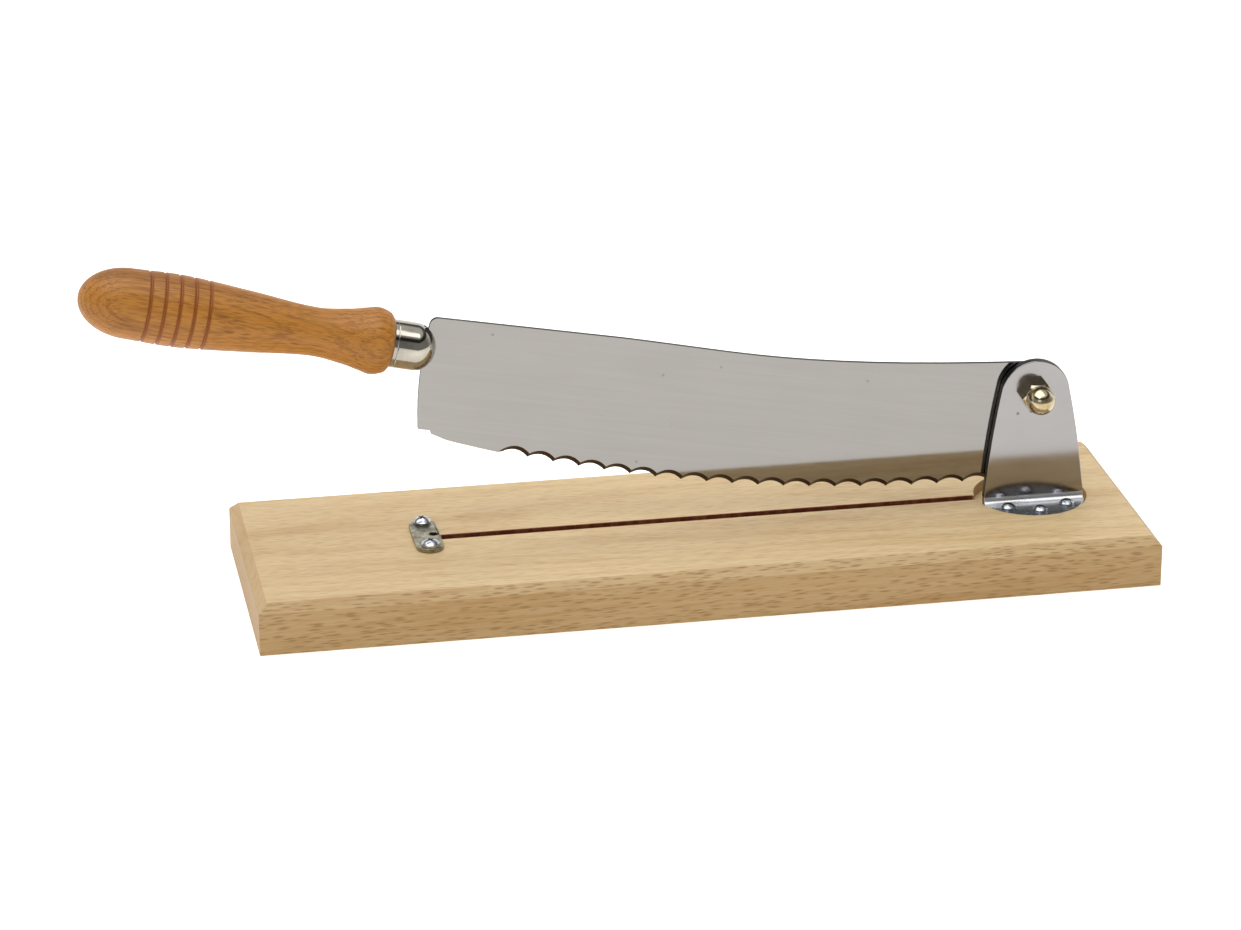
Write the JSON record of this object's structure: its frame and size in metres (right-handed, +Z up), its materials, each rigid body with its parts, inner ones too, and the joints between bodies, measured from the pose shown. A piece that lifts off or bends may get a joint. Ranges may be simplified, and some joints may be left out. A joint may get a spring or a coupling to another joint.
{
  "type": "bread slicer",
  "caption": "Hinged bread slicer: a scalloped steel blade with a turned handle pivots on a plate at the end of a grooved beech board.",
  "frame": {"origin": "centre of the board's underside", "axes": "+X from the handle end to the pivot end, +Y away from the user, +Z up"},
  "size_m": [0.4666, 0.12, 0.1574],
  "materials": {
    "beech_board": "sanded, bare beech",
    "stop_steel": "satin",
    "screw_steel": "zinc plated, bright",
    "upright_steel": "polished, faint grain",
    "blade_steel": "polished, grain along the blade",
    "ferrule_chrome": "bright chrome",
    "beech_handle": "steamed beech, oiled, turned",
    "friction_nylon": "natural nylon",
    "nut_nickel": "bright nickel"
  },
  "bodies": {
    "stand": {"board": "beech_board", "stop_plate": "stop_steel", "stop_plate_screws": "screw_steel", "upright": "upright_steel", "foot_screws": "screw_steel", "pivot_bolt": "screw_steel", "friction_washers": "friction_nylon", "rear_washer": "screw_steel", "spring_washer": "screw_steel", "cap_nut": "nut_nickel"},
    "knife": {"blade": "blade_steel", "ferrule": "ferrule_chrome", "handle": "beech_handle"}
  },
  "joints": [
    {"name": "blade_pivot", "type": "hinge", "parent": "stand", "child": "knife", "pos_m": [0.1552, 0, 0.0734], "axis": [0, 1, 0], "range_deg": [-10.4, 79.6]}
  ]
}
